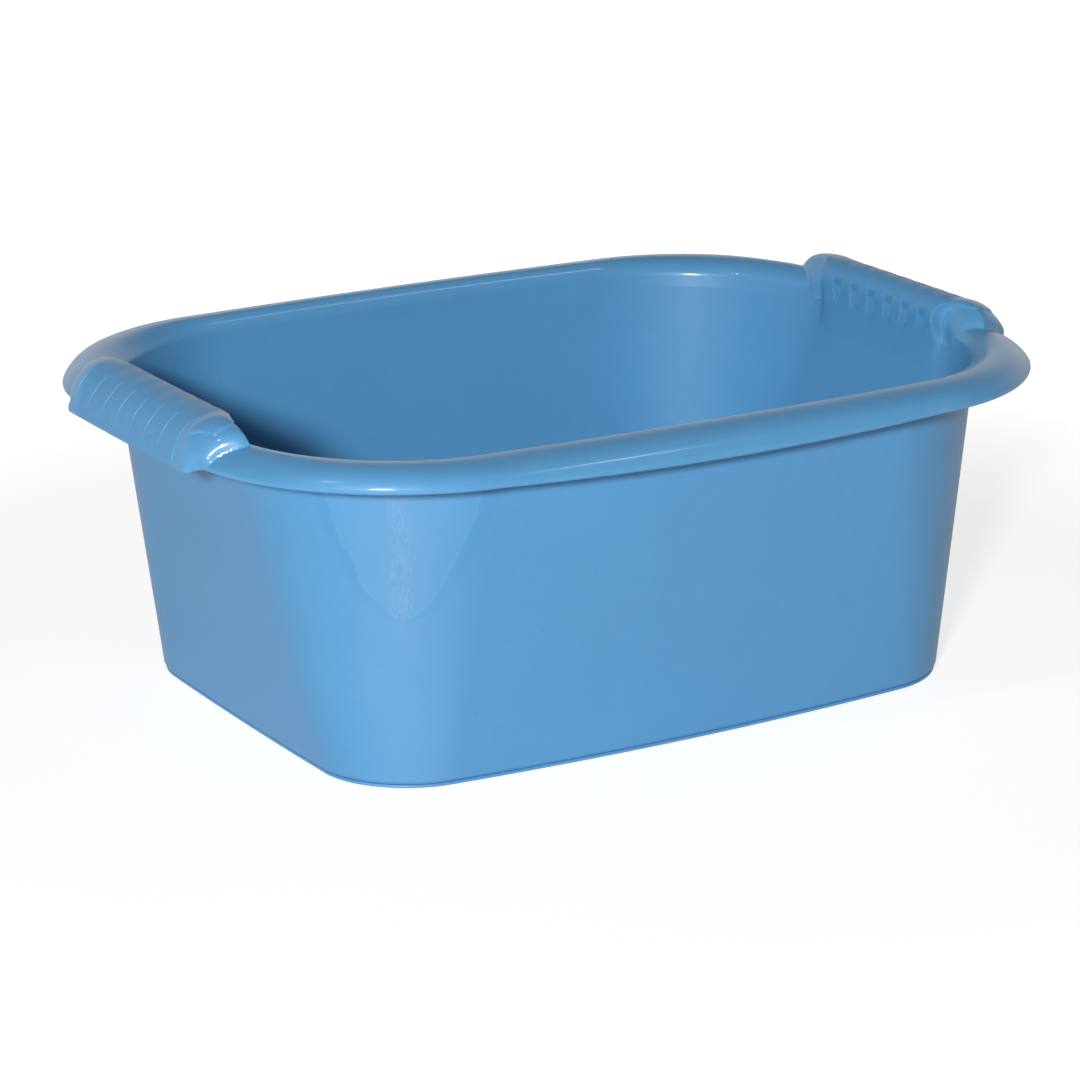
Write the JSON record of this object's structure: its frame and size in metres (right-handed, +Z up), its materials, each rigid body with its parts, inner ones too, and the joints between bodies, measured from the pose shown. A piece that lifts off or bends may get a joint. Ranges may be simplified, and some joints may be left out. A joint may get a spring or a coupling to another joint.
{
  "type": "washing up bowl",
  "caption": "Rectangular washing up bowl with bowed sides, tapered walls, a rolled rim, and a raised hooded grip with finger flutes at each end.",
  "frame": {"origin": "centre of the underside, on the surface that the bowl stands on", "axes": "+X along the bowl's length, from one grip to the other; +Y across it, to the back; +Z up"},
  "size_m": [0.4102, 0.298, 0.154],
  "materials": {
    "shell": "satin moulded blue polypropylene"
  },
  "bodies": {
    "root": {"basin_floor": "shell", "foot_bead": "shell", "basin_wall": "shell", "front_rim": "shell", "back_rim": "shell", "left_grip": "shell", "right_grip": "shell"}
  },
  "joints": []
}
